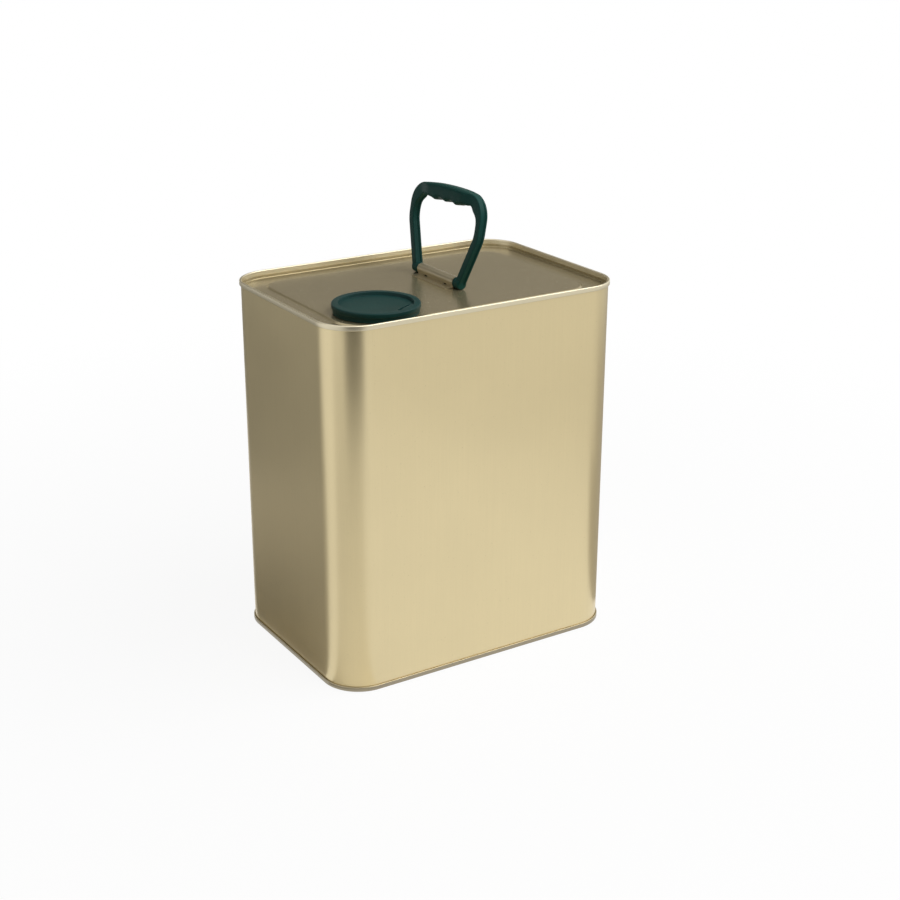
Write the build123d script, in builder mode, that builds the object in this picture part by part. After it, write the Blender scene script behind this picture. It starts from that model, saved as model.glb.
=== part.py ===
"""Ten litre olive oil tin with a pull-up pouring spout and a folding handle.

Millimetres. +Z is up, X runs along the wide faces, Y runs front to back.
The origin is the middle of the tin's foot, on the plane it stands on.
"""
from build123d import *
from math import cos, radians, sin
import os

os.makedirs("parts", exist_ok=True)

# Body: a wrapped and welded sheet with rounded corners
tin_width = 237.0
tin_depth = 166.0
tin_height = 273.0
corner_radius = 28.0
sheet = 0.32
side_lap_width = 3.0
side_lap_thickness = 0.16
side_lap_from_middle = -3.0

# Double seams: three folds of sheet stand outside the body wall
seam_height = 3.6
seam_gap = 0.06
compound_thickness = 0.2
compound_width = 0.24
compound_from_wall = 0.1
shoulder_radius = 0.45
hook_bend_radius = 0.15
hook_end_gap = 0.35
countersink_radius = 0.75

# Lid panel: sunk below the rim, its field raised out of a shallow margin
lid_recess = 4.8
lid_step = 1.1
lid_side_margin = 17.0
lid_front_margin = 14.0
lid_field_corner = 20.0
step_slope = 40.0
band_width = 3.0

# Bottom end: sunk above the foot, with two pressed steps
bottom_recess = 5.2
bottom_step = 1.2
bottom_margin = 16.0
bottom_inner_margin = 34.0
bottom_field_corner = 18.0

# Closure: radii about its own axis, heights above the lid's field
closure_from_side = 52.5
closure_from_front = 39.5
boss_radius = 35.2
boss_blend_radius = 4.0
neck_bore = 26.4
neck_rise = 1.6
curl_width = 1.9
curl_drop = 0.5
gasket_thickness = 0.5
gasket_margin = 0.1
crimp_sheet = 0.3
crimp_reach = 1.9
crimp_lip = 0.8
crimp_side_gap = 0.15

# Spout base ring, sunk into the tin below the neck
base_flange_thickness = 0.88
base_depth = 27.0
base_neck_gap = 0.1
base_wall = 1.7
lip_height = 1.4
base_lip_width = 0.8
base_ledge_width = 1.8
ledge_thickness = 1.2

# Two sliding spout stages
slide_gap = 0.25
rest_gap = 0.05
sleeve_wall = 1.4
sleeve_top = 2.2
sleeve_bead_height = 2.0
sleeve_lip_width = 0.9
sleeve_ledge_width = 1.5
nozzle_wall = 1.3
nozzle_bead_height = 1.8
nozzle_shoulder_height = -13.0
nozzle_throat_height = -8.0
nozzle_mouth_height = 0.7
throat_radius = 13.2
throat_wall = 1.4
throat_ledge_width = 0.9
throat_ledge_thickness = 0.6
pour_lip_reach = 0.45
pour_lip_height = 0.6

# Tear-out membrane with its pull ring
membrane_gap = 0.3
membrane_thickness = 0.6
pull_ring_radius = 8.2
pull_ring_width = 1.6
pull_ring_thickness = 1.4
pull_ring_lift = 2.3

# Screw cap, its liner and two folding bails
liner_thickness = 0.75
liner_radius = 13.9
cap_bore = 14.3
cap_wall = 1.3
cap_plate = 1.2
cap_skirt_depth = 8.0
cap_rib_count = 30
cap_rib_height = 0.35
cap_rib_width = 0.9
lug_reach = 1.3
lug_width = 5.4
lug_height = 2.1
bail_pin_radius = 0.7
bail_pin_clearance = 0.08
bail_pin_depth = 0.95
bail_axis_from_middle = 1.3
bail_eye_radius = 1.05
bail_side_gap = 0.3
bail_width = 2.0
bail_thickness = 1.4

# Tamper band and overcap
band_gap = 0.3
band_wall = 1.0
band_low = 0.25
band_height = 1.35
band_hook = 0.65
break_gap = 0.1
overcap_radius = 30.9
overcap_top = 6.2
overcap_flange = 2.5
overcap_recess_radius = 25.7
overcap_recess_depth = 1.6
overcap_floor = 1.1
overcap_edge_radius = 0.8
recess_edge_radius = 0.35
tab_width = 16.0
tab_from_middle = 21.9
tab_angle = -61.0

# Handle clip: a rolled strap welded to the lid
handle_x = 14.5
handle_y = 4.5
hinge_rise = 4.2
clip_sheet = 0.5
bar_radius = 3.3
bar_clearance = 0.08
clip_length = 48.2
clip_throat = 2.4
clip_flange_reach = 8.6
clip_flange_corner = 1.6
clip_edge_angle = 65
clip_edge_width = 0.4
clip_edge_depth = 0.22
relief_length = 4.0
relief_spacing = 27.0
weld_radius = 1.1
weld_height = 0.12
weld_from_hinge = 6.4
weld_spacing = 34.0

# Handle: a moulded loop with a finger grip, leaning as it was left
handle_lean = 9.8
hub_radius = 4.0
hub_thickness = 7.4
hub_gap = 0.4
hub_proud = 0.25
leg_width = 5.4
leg_thickness = 4.9
knee_height_share = 0.54
knee_half_width = 44.2
knee_bend_share = 0.33
shoulder_bend_share = 0.33
shoulder_fall = 3.8
grip_skew = 1.5
crown_share = 0.62
handle_height = 65.8
grip_width = 12.0
grip_thickness = 11.2
grip_lift = 0.5
grip_half_length = 34.0
grip_round_share = 0.34
grip_place_shares = (0, 0.35, 0.66, 0.84, 1)
grip_swell_shares = (1, 1, 0.92, 0.5, -0.2)
finger_pitch = 14.4
finger_depth = 1.5
finger_count = 4
groove_width = 3.0
groove_depth = 0.9
cut_overrun = 1.0

# Levels and places worked out from the sizes above
lid_top = tin_height - lid_recess
lid_margin_top = lid_top - lid_step
closure_x = closure_from_side - tin_width / 2
closure_y = closure_from_front - tin_depth / 2
seam_reach = 3 * sheet + 3 * seam_gap
closure_axis = Axis((closure_x, closure_y, 0), (0, 0, 1))
closure_plane = Plane(origin=(closure_x, closure_y, lid_top), x_dir=(1, 0, 0), z_dir=(0, -1, 0))
closure_level = Plane(origin=(closure_x, closure_y, lid_top))


def tin_outline(grow):
    """The body's outer outline, grown or shrunk all round."""
    with BuildSketch() as outline:
        RectangleRounded(tin_width + 2 * grow, tin_depth + 2 * grow, corner_radius + grow)
    return outline.sketch


def raised_ring(outer, inner):
    """A ring between two offsets of the body's outline."""
    with BuildSketch() as ring:
        add(tin_outline(outer))
        add(tin_outline(inner), mode=Mode.SUBTRACT)
    return ring.sketch


def seam_plane(rim_height, inward):
    """Section plane at the start of the outline: x outward, y from the rim into the tin."""
    outline_wire = tin_outline(0).wire()
    start = outline_wire @ 0
    along = outline_wire % 0
    outward = along.cross(Vector(0, 0, 1))
    depth_direction = Vector(0, 0, inward)
    origin = start + Vector(0, 0, rim_height)
    return Plane(origin=origin, x_dir=outward, z_dir=outward.cross(depth_direction))


def folded_sheet(plane, points, bends):
    """Section of one folded sheet: its line, the same line one gauge over, and two cut ends."""
    line = [Vector(*point) for point in points]
    runs = [(after - before).normalized() for before, after in zip(line, line[1:])]
    sides = [Vector(run.Y, -run.X) for run in runs]
    turns = [before.cross(after).Z for before, after in zip(runs, runs[1:])]
    over = [line[0] + sides[0] * sheet]
    over += [corner + (a + b) * sheet for corner, a, b in zip(line[1:-1], sides, sides[1:])]
    over += [line[-1] + sides[-1] * sheet]
    over_bends = [bend + turn * sheet for bend, turn in zip(bends, turns)]
    with BuildSketch(plane) as section:
        with BuildLine():
            FilletPolyline(*line, radius=bends)
            FilletPolyline(*over, radius=over_bends)
            Line(line[0], over[0])
            Line(line[-1], over[-1])
        make_face()
    return section.sketch


def body_hook(plane):
    """Body wall folded out and back over itself under the end's seam."""
    hook_under = 2 * sheet + compound_thickness
    hook_outside = sheet + 2 * seam_gap
    hook_end = seam_height - sheet - hook_end_gap
    points = [(0, seam_height), (0, hook_under), (hook_outside, hook_under), (hook_outside, hook_end)]
    return folded_sheet(plane, points, [hook_bend_radius, hook_bend_radius])


def end_hook(plane, floor_depth):
    """Lid or bottom sheet: margin, countersink wall, seaming wall and cover hook."""
    chuck = -sheet - seam_gap
    seam_inside = seam_reach - sheet
    cover_inside = seam_gap + sheet
    tuck = seam_height - sheet
    hook_end = 2 * sheet + compound_thickness + hook_end_gap
    points = [
        (-band_width, floor_depth),
        (chuck, floor_depth),
        (chuck, sheet),
        (seam_inside, sheet),
        (seam_inside, tuck),
        (cover_inside, tuck),
        (cover_inside, hook_end),
    ]
    bends = [countersink_radius, shoulder_radius, shoulder_radius, hook_bend_radius, hook_bend_radius]
    return folded_sheet(plane, points, bends)


def lid_field(shrink):
    """Outline of the lid's raised field with the closure's boss bulging out of it."""
    with BuildSketch() as field:
        RectangleRounded(
            tin_width - 2 * lid_side_margin - 2 * shrink,
            tin_depth - 2 * lid_front_margin - 2 * shrink,
            lid_field_corner - shrink,
        )
        with Locations((closure_x, closure_y)):
            Circle(boss_radius - shrink)
        corners = field.vertices().filter_by(
            lambda v: abs((Vector(v) - Vector(closure_x, closure_y, 0)).length - boss_radius + shrink)
            < boss_radius / tin_width / 10
        )
        fillet(corners, boss_blend_radius)
    return field.sketch


def turned(*points):
    """A closed section beside the closure's axis: radius, height above the lid's field."""
    with BuildSketch(closure_plane) as section:
        with BuildLine():
            Polyline(*points, close=True)
        make_face()
    return section.sketch


def turned_ring(bore, outside, low, high):
    """A plain ring section beside the closure's axis."""
    return turned((bore, low), (outside, low), (outside, high), (bore, high))


top_plane = seam_plane(tin_height, -1)
foot_plane = seam_plane(0, 1)
seam_path = tin_outline(0).wire()

# Body shell with a hook at each end and the lap of its side weld
with BuildPart() as body_shell:
    extrude(Plane.XY.offset(seam_height) * raised_ring(0, -sheet), amount=tin_height - 2 * seam_height)
    for hook_plane in (top_plane, foot_plane):
        sweep(body_hook(hook_plane), path=seam_path, transition=Transition.RIGHT)
    lap_plane = Plane(
        origin=(side_lap_from_middle, tin_depth / 2, seam_height + seam_gap),
        x_dir=(1, 0, 0),
        z_dir=(0, 0, 1),
    )
    with BuildSketch(lap_plane):
        Rectangle(side_lap_width, side_lap_thickness, align=(Align.CENTER, Align.MIN))
    extrude(amount=tin_height - 2 * seam_height - 2 * seam_gap)
body_shell.part.label = "body_shell"
export_step(body_shell.part, "parts/body_shell.step")

# Lid: seamed edge, margin, raised field, closure neck with its curl
margin_under = lid_margin_top - sheet
with BuildPart() as top_lid:
    sweep(
        end_hook(top_plane, tin_height - margin_under),
        path=seam_path,
        transition=Transition.RIGHT,
    )
    extrude(Plane.XY.offset(margin_under) * tin_outline(-band_width), amount=sheet)
    extrude(Plane.XY.offset(margin_under) * lid_field(0), amount=lid_step + sheet, taper=step_slope)
    extrude(
        Plane.XY.offset(margin_under) * lid_field(sheet),
        amount=lid_step,
        taper=step_slope,
        mode=Mode.SUBTRACT,
    )
    neck_outside = neck_bore + sheet
    curl_outside = neck_bore + curl_width
    curl_top = neck_rise + sheet
    revolve(
        turned(
            (neck_bore, -sheet),
            (neck_outside, -sheet),
            (neck_outside, neck_rise),
            (curl_outside - sheet, neck_rise),
            (curl_outside - sheet, neck_rise - curl_drop),
            (curl_outside, neck_rise - curl_drop),
            (curl_outside, curl_top),
            (neck_bore, curl_top),
        ),
        axis=closure_axis,
    )
    revolve(turned_ring(0, neck_bore, -lid_step - sheet, curl_top), axis=closure_axis, mode=Mode.SUBTRACT)
top_lid.part.label = "top_lid"
export_step(top_lid.part, "parts/top_lid.step")


def bottom_field(margin):
    """Outline of one pressed step of the bottom end."""
    with BuildSketch() as field:
        RectangleRounded(tin_width - 2 * margin, tin_depth - 2 * margin, bottom_field_corner)
    return field.sketch


# Bottom end: seamed edge, margin and two steps pressed up into the tin
with BuildPart() as bottom_end:
    sweep(
        end_hook(foot_plane, bottom_recess + sheet),
        path=seam_path,
        transition=Transition.RIGHT,
    )
    extrude(Plane.XY.offset(bottom_recess) * tin_outline(-band_width), amount=sheet)
    for margin, low in ((bottom_margin, bottom_recess), (bottom_inner_margin, bottom_recess + bottom_step)):
        extrude(
            Plane.XY.offset(low) * bottom_field(margin),
            amount=bottom_step + sheet,
            taper=step_slope,
        )
        extrude(
            Plane.XY.offset(low) * bottom_field(margin + sheet),
            amount=bottom_step,
            taper=step_slope,
            mode=Mode.SUBTRACT,
        )
bottom_end.part.label = "bottom_end"
export_step(bottom_end.part, "parts/bottom_end.step")

# Sealing compound in the top of each double seam
compound_ring = raised_ring(compound_from_wall + compound_width, compound_from_wall)
with BuildPart() as top_seam_compound:
    extrude(Plane.XY.offset(tin_height - sheet) * compound_ring, amount=-compound_thickness)
top_seam_compound.part.label = "top_seam_compound"
export_step(top_seam_compound.part, "parts/top_seam_compound.step")

with BuildPart() as bottom_seam_compound:
    extrude(Plane.XY.offset(sheet) * compound_ring, amount=compound_thickness)
bottom_seam_compound.part.label = "bottom_seam_compound"
export_step(bottom_seam_compound.part, "parts/bottom_seam_compound.step")

# Gasket on the neck's curl
gasket_top = curl_top + gasket_thickness
with BuildPart() as neck_gasket:
    revolve(
        turned_ring(neck_bore + gasket_margin, curl_outside - gasket_margin, curl_top, gasket_top),
        axis=closure_axis,
    )
neck_gasket.part.label = "neck_gasket"
export_step(neck_gasket.part, "parts/neck_gasket.step")

# Spout base: flange on the gasket, guide bore with a stop lip and a ledge
base_top = gasket_top + base_flange_thickness
base_outside = neck_bore - base_neck_gap
base_bore = base_outside - base_wall
base_lip_bore = base_bore - base_lip_width
base_ledge_bore = base_bore - base_ledge_width
with BuildPart() as spout_base:
    revolve(
        turned(
            (base_ledge_bore, -base_depth),
            (base_outside, -base_depth),
            (base_outside, gasket_top),
            (curl_outside - gasket_margin, gasket_top),
            (curl_outside - gasket_margin, base_top),
            (base_lip_bore, base_top),
            (base_lip_bore, base_top - lip_height),
            (base_bore, base_top - lip_height),
            (base_bore, ledge_thickness - base_depth),
            (base_ledge_bore, ledge_thickness - base_depth),
        ),
        axis=closure_axis,
    )
spout_base.part.label = "spout_base"
export_step(spout_base.part, "parts/spout_base.step")

# Crimp ring: clamps the base's flange down on the curl
crimp_bore = curl_outside + crimp_side_gap
crimp_outside = crimp_bore + crimp_sheet
crimp_top = base_top + crimp_sheet
crimp_lip_top = neck_rise - curl_drop - seam_gap
crimp_low = crimp_lip_top - crimp_sheet
with BuildPart() as crimp_ring:
    revolve(
        turned(
            (crimp_outside - crimp_reach, base_top),
            (crimp_bore, base_top),
            (crimp_bore, crimp_lip_top),
            (crimp_bore - crimp_lip, crimp_lip_top),
            (crimp_bore - crimp_lip, crimp_low),
            (crimp_outside, crimp_low),
            (crimp_outside, crimp_top),
            (crimp_outside - crimp_reach, crimp_top),
        ),
        axis=closure_axis,
    )
    fillet(crimp_ring.edges().filter_by(GeomType.CIRCLE).group_by(Axis.Z)[-1].sort_by(SortBy.RADIUS)[-1],
           crimp_sheet)
crimp_ring.part.label = "crimp_ring"
export_step(crimp_ring.part, "parts/crimp_ring.step")

# Tamper band: hooked under the crimp ring, left behind when the overcap comes off
band_bore = crimp_outside + band_gap
band_outside = band_bore + band_wall
band_top = band_low + band_height
band_hook_top = crimp_low - seam_gap
with BuildPart() as tamper_band:
    revolve(
        turned(
            (band_bore - band_hook, band_low),
            (band_outside, band_low),
            (band_outside, band_top),
            (band_bore, band_top),
            (band_bore, band_hook_top),
            (band_bore - band_hook, band_hook_top),
        ),
        axis=closure_axis,
    )
tamper_band.part.label = "tamper_band"
export_step(tamper_band.part, "parts/tamper_band.step")

# Overcap: raised rim, sunk centre with a lift tab, short skirt over the crimp ring
flange_low = overcap_top - overcap_flange
floor_top = overcap_top - overcap_recess_depth
with BuildPart() as overcap:
    revolve(
        turned(
            (0, floor_top - overcap_floor),
            (overcap_recess_radius, floor_top - overcap_floor),
            (overcap_recess_radius, flange_low),
            (band_bore, flange_low),
            (band_bore, band_top + break_gap),
            (band_outside, band_top + break_gap),
            (band_outside, flange_low),
            (overcap_radius, flange_low),
            (overcap_radius, overcap_top),
            (overcap_recess_radius, overcap_top),
            (overcap_recess_radius, floor_top),
            (0, floor_top),
        ),
        axis=closure_axis,
    )
    top_edges = overcap.edges().filter_by(GeomType.CIRCLE).group_by(Axis.Z)[-1].sort_by(SortBy.RADIUS)
    fillet(top_edges[-1], overcap_edge_radius)
    fillet(top_edges[0], recess_edge_radius)
    with BuildSketch(closure_level.offset(floor_top)):
        Circle(overcap_recess_radius + recess_edge_radius)
        with PolarLocations(tab_from_middle + overcap_recess_radius / 2, 1, start_angle=tab_angle):
            Rectangle(overcap_recess_radius, tab_width, mode=Mode.INTERSECT)
    extrude(amount=overcap_recess_depth - recess_edge_radius)
overcap.part.label = "overcap"
export_step(overcap.part, "parts/overcap.step")

# Outer spout stage: rests on the base's ledge, stops under its lip
sleeve_outside = base_lip_bore - slide_gap
sleeve_bore = sleeve_outside - sleeve_wall
sleeve_bead = base_bore - slide_gap
sleeve_low = ledge_thickness - base_depth + rest_gap
sleeve_lip_bore = sleeve_bore - sleeve_lip_width
sleeve_ledge_bore = sleeve_bore - sleeve_ledge_width
with BuildPart() as spout_sleeve:
    revolve(
        turned(
            (sleeve_ledge_bore, sleeve_low),
            (sleeve_bead, sleeve_low),
            (sleeve_bead, sleeve_low + sleeve_bead_height),
            (sleeve_outside, sleeve_low + sleeve_bead_height),
            (sleeve_outside, sleeve_top),
            (sleeve_lip_bore, sleeve_top),
            (sleeve_lip_bore, sleeve_top - lip_height),
            (sleeve_bore, sleeve_top - lip_height),
            (sleeve_bore, sleeve_low + ledge_thickness),
            (sleeve_ledge_bore, sleeve_low + ledge_thickness),
        ),
        axis=closure_axis,
    )
spout_sleeve.part.label = "spout_sleeve"
export_step(spout_sleeve.part, "parts/spout_sleeve.step")

# Inner spout stage: cylinder, cone and throat with a pouring lip
nozzle_outside = sleeve_lip_bore - slide_gap
nozzle_bore = nozzle_outside - nozzle_wall
nozzle_bead = sleeve_bore - slide_gap
nozzle_low = sleeve_low + ledge_thickness + rest_gap
throat_bore = throat_radius - throat_wall
throat_ledge_top = nozzle_throat_height + nozzle_wall + throat_ledge_thickness
with BuildPart() as spout_nozzle:
    revolve(
        turned(
            (nozzle_bore, nozzle_low),
            (nozzle_bead, nozzle_low),
            (nozzle_bead, nozzle_low + nozzle_bead_height),
            (nozzle_outside, nozzle_low + nozzle_bead_height),
            (nozzle_outside, nozzle_shoulder_height),
            (throat_radius, nozzle_throat_height),
            (throat_radius, nozzle_mouth_height - pour_lip_height),
            (throat_radius + pour_lip_reach, nozzle_mouth_height - pour_lip_height / 2),
            (throat_radius, nozzle_mouth_height),
            (throat_bore, nozzle_mouth_height),
            (throat_bore, throat_ledge_top),
            (throat_bore - throat_ledge_width, throat_ledge_top),
            (throat_bore - throat_ledge_width, throat_ledge_top - throat_ledge_thickness),
            (throat_bore, nozzle_throat_height),
            (nozzle_bore, nozzle_shoulder_height - nozzle_wall),
        ),
        axis=closure_axis,
    )
spout_nozzle.part.label = "spout_nozzle"
export_step(spout_nozzle.part, "parts/spout_nozzle.step")

# Tear-out membrane: disc on the throat's ledge, post and pull ring above it
membrane_low = throat_ledge_top + rest_gap
membrane_top = membrane_low + membrane_thickness
pull_ring_low = membrane_top + pull_ring_lift
with BuildPart() as tear_membrane:
    revolve(
        turned_ring(0, throat_bore - membrane_gap, membrane_low, membrane_top),
        axis=closure_axis,
    )
    revolve(
        turned_ring(
            pull_ring_radius - pull_ring_width,
            pull_ring_radius,
            pull_ring_low,
            pull_ring_low + pull_ring_thickness,
        ),
        axis=closure_axis,
    )
    with BuildSketch(closure_level.offset(membrane_top)):
        with Locations((pull_ring_radius - pull_ring_width / 2, 0)):
            Rectangle(pull_ring_width, pull_ring_width)
    extrude(amount=pull_ring_lift + pull_ring_thickness / 2)
tear_membrane.part.label = "tear_membrane"
export_step(tear_membrane.part, "parts/tear_membrane.step")

# Liner pressed on the mouth by the screw cap
liner_low = nozzle_mouth_height + rest_gap
liner_top = liner_low + liner_thickness
with BuildPart() as cap_liner:
    revolve(turned_ring(0, liner_radius, liner_low, liner_top), axis=closure_axis)
cap_liner.part.label = "cap_liner"
export_step(cap_liner.part, "parts/cap_liner.step")

# Screw cap: ribbed skirt and two lugs that carry the bails
cap_outside = cap_bore + cap_wall
cap_top = liner_top + cap_plate
cap_low = liner_top - cap_skirt_depth
lug_outside = cap_outside + lug_reach
bail_axis_height = cap_top - lug_height / 2
with BuildPart() as screw_cap:
    revolve(
        turned(
            (0, liner_top),
            (cap_bore, liner_top),
            (cap_bore, cap_low),
            (cap_outside, cap_low),
            (cap_outside, cap_top),
            (0, cap_top),
        ),
        axis=closure_axis,
    )
    with BuildSketch(closure_level.offset(cap_low)):
        with PolarLocations(cap_outside, cap_rib_count):
            Rectangle(2 * cap_rib_height, cap_rib_width)
    extrude(amount=cap_skirt_depth)
    with BuildSketch(closure_level.offset(cap_top)):
        Circle(lug_outside)
        Rectangle(2 * lug_outside, lug_width, mode=Mode.INTERSECT)
        Circle(cap_outside - cap_wall / 2, mode=Mode.SUBTRACT)
    extrude(amount=-lug_height)
    for side in (-1, 1):
        pin_hole_plane = Plane(
            origin=(closure_x + side * (lug_outside + cut_overrun), closure_y, lid_top + bail_axis_height),
            x_dir=(0, 1, 0),
            z_dir=(-side, 0, 0),
        )
        with BuildSketch(pin_hole_plane):
            with Locations((bail_axis_from_middle, 0), (-bail_axis_from_middle, 0)):
                Circle(bail_pin_radius + bail_pin_clearance)
        extrude(amount=bail_pin_depth + bail_pin_clearance + cut_overrun, mode=Mode.SUBTRACT)
screw_cap.part.label = "screw_cap"
export_step(screw_cap.part, "parts/screw_cap.step")


def pull_bail(name, toward):
    """Half ring with an eye and an inward pin at each end, lying flat around the cap."""
    bail_bore = lug_outside + bail_side_gap
    bail_outside = bail_bore + bail_width
    axis_y = toward * bail_axis_from_middle
    bail_level = closure_level.offset(bail_axis_height - bail_thickness / 2)
    with BuildPart() as bail:
        with BuildSketch(bail_level):
            Circle(bail_outside)
            Circle(bail_bore, mode=Mode.SUBTRACT)
            with Locations((0, axis_y)):
                Rectangle(
                    2 * bail_outside,
                    bail_outside,
                    align=(Align.CENTER, Align.MIN if toward > 0 else Align.MAX),
                    mode=Mode.INTERSECT,
                )
        extrude(amount=bail_thickness)
        for side in (-1, 1):
            eye_plane = Plane(
                origin=(closure_x + side * bail_bore, closure_y + axis_y, lid_top + bail_axis_height),
                x_dir=(0, 1, 0),
                z_dir=(side, 0, 0),
            )
            with BuildSketch(eye_plane):
                Circle(bail_eye_radius)
            extrude(amount=bail_width - bail_side_gap)
            with BuildSketch(eye_plane):
                Circle(bail_pin_radius)
            extrude(amount=-bail_side_gap - bail_pin_depth)
    bail.part.label = name
    export_step(bail.part, "parts/" + name + ".step")


pull_bail("pull_bail_front", -1)
pull_bail("pull_bail_rear", 1)

# Handle clip: a strap rolled round the handle's bar, its two flanges flat on the lid
hinge_z = lid_top + hinge_rise
clip_bore = bar_radius + bar_clearance
clip_outside = clip_bore + clip_sheet
clip_plane = Plane(origin=(handle_x, handle_y, hinge_z), x_dir=(1, 0, 0), z_dir=(0, -1, 0))
with BuildPart() as handle_clip:
    with BuildSketch(clip_plane):
        Circle(clip_outside)
        with Locations((0, -hinge_rise)):
            Rectangle(
                2 * clip_throat + 2 * clip_sheet,
                hinge_rise,
                align=(Align.CENTER, Align.MIN),
            )
            Rectangle(
                2 * clip_flange_reach,
                clip_sheet,
                align=(Align.CENTER, Align.MIN),
            )
            Rectangle(
                2 * clip_throat,
                hinge_rise,
                align=(Align.CENTER, Align.MIN),
                mode=Mode.SUBTRACT,
            )
        Circle(clip_bore, mode=Mode.SUBTRACT)
        with PolarLocations(clip_outside, 1, start_angle=180 - clip_edge_angle):
            Rectangle(2 * clip_edge_depth, clip_edge_width, mode=Mode.SUBTRACT)
    extrude(amount=clip_length / 2, both=True)
    flange_corners = handle_clip.edges().filter_by(Axis.Z).filter_by(
        lambda e: abs(e.center().X - handle_x) > clip_flange_reach - clip_sheet
    )
    fillet(flange_corners, clip_flange_corner)
    with BuildSketch(Plane(origin=(handle_x, handle_y, lid_top + clip_sheet))):
        with Locations((-clip_throat - clip_sheet / 2, 0)):
            with GridLocations(0, relief_spacing, 1, 2):
                Rectangle(2 * clip_sheet, relief_length)
    extrude(amount=clip_sheet + clip_sheet, mode=Mode.SUBTRACT)
handle_clip.part.label = "handle_clip"
export_step(handle_clip.part, "parts/handle_clip.step")

# Resistance welds that hold the flanges to the lid
with BuildPart() as clip_welds:
    with BuildSketch(Plane(origin=(handle_x, handle_y, lid_top + clip_sheet))):
        with GridLocations(2 * weld_from_hinge, weld_spacing, 2, 2):
            Circle(weld_radius)
    extrude(amount=weld_height)
clip_welds.part.label = "clip_welds"
export_step(clip_welds.part, "parts/clip_welds.step")

# Handle: bar through the clip, two hubs, grooved legs and a scalloped grip
lean = radians(handle_lean)
handle_plane = Plane(
    origin=(handle_x, handle_y, hinge_z),
    x_dir=(0, 1, 0),
    z_dir=(cos(lean), 0, -sin(lean)),
)
hub_inner = clip_length / 2 + hub_gap
leg_foot = hub_inner + hub_thickness - hub_proud - leg_thickness / 2
leg_top = handle_height - grip_lift - leg_thickness / 2
knee_height = knee_height_share * handle_height
crown_slope = shoulder_fall / knee_half_width
crown_reach = crown_share * knee_half_width
crown_bend = crown_reach / crown_slope
crown_top = leg_top + crown_reach * crown_slope / 2
leg_points = [
    (-leg_foot, 0),
    (-knee_half_width, knee_height),
    (-knee_half_width, crown_top - shoulder_fall + grip_skew),
    (0, crown_top),
    (knee_half_width, crown_top - shoulder_fall - grip_skew),
    (knee_half_width, knee_height),
    (leg_foot, 0),
]
knee_bend = knee_bend_share * handle_height
shoulder_bend = shoulder_bend_share * knee_half_width
leg_bends = [knee_bend, shoulder_bend, crown_bend, shoulder_bend, knee_bend]


def crown_fall(place):
    """How far the crowned grip has fallen at this place beside its middle, the far end lower."""
    return place ** 2 / 2 / crown_bend + place * grip_skew / knee_half_width


def leg_strip(start, reach, thickness):
    """The leg's bent strip, starting beside the handle's middle plane and reaching along X."""
    with BuildSketch(handle_plane.offset(start)) as strip:
        with BuildLine():
            FilletPolyline(*leg_points, radius=leg_bends)
        trace(line_width=thickness)
    extrude(strip.sketch, amount=reach)


def grip_section(place, swell_share):
    """One rounded section across the grip, between the leg's size and the grip's full size."""
    width = leg_width + swell_share * (grip_width - leg_width)
    thickness = leg_thickness + swell_share * (grip_thickness - leg_thickness)
    top = handle_height - crown_fall(place) - (1 - swell_share) * grip_lift
    middle = handle_plane.from_local_coords((place, top - thickness / 2, 0))
    with BuildSketch(Plane(origin=middle, x_dir=handle_plane.z_dir, z_dir=handle_plane.x_dir)) as section:
        RectangleRounded(width, thickness, grip_round_share * thickness)
    return section.sketch.face()


with BuildPart() as handle:
    near_half = [
        grip_section(-place_share * grip_half_length, swell_share)
        for place_share, swell_share in zip(grip_place_shares, grip_swell_shares)
    ]
    far_half = [
        grip_section(place_share * grip_half_length, swell_share)
        for place_share, swell_share in zip(grip_place_shares[1:], grip_swell_shares[1:])
    ]
    loft(near_half[::-1] + far_half)
    finger_radius = finger_pitch ** 2 / 8 / finger_depth + finger_depth / 2
    with BuildSketch(handle_plane):
        for finger in range(finger_count):
            place = (finger - (finger_count - 1) / 2) * finger_pitch
            under = handle_height - grip_thickness - crown_fall(place)
            with Locations((place, under + finger_depth - finger_radius)):
                Circle(finger_radius)
    extrude(amount=grip_width / 2 + cut_overrun, both=True, mode=Mode.SUBTRACT)
    rail_width = (leg_width - groove_width) / 2
    leg_strip(-leg_width / 2, rail_width, leg_thickness)
    leg_strip(-groove_width / 2, groove_width, leg_thickness - 2 * groove_depth)
    leg_strip(groove_width / 2, rail_width, leg_thickness)
    for side in (-1, 1):
        hub_plane = Plane(
            origin=(handle_x, handle_y + side * hub_inner, hinge_z),
            x_dir=(1, 0, 0),
            z_dir=(0, side, 0),
        )
        with BuildSketch(hub_plane):
            Circle(hub_radius)
        extrude(amount=hub_thickness)
    with BuildSketch(Plane(origin=(handle_x, handle_y, hinge_z), x_dir=(1, 0, 0), z_dir=(0, 1, 0))):
        Circle(bar_radius)
    extrude(amount=hub_inner + hub_thickness / 2, both=True)
handle.part.label = "handle"
export_step(handle.part, "parts/handle.step")
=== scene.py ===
"""Looks of the ten litre olive oil tin with a pull-up spout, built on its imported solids.

Metres, +Z up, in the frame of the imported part. Heights of the closure's pieces are given
from the lid's raised field, and their radii from the closure's own axis.
"""

import math

import bpy
import numpy as np
from mathutils import Matrix, Vector


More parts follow.
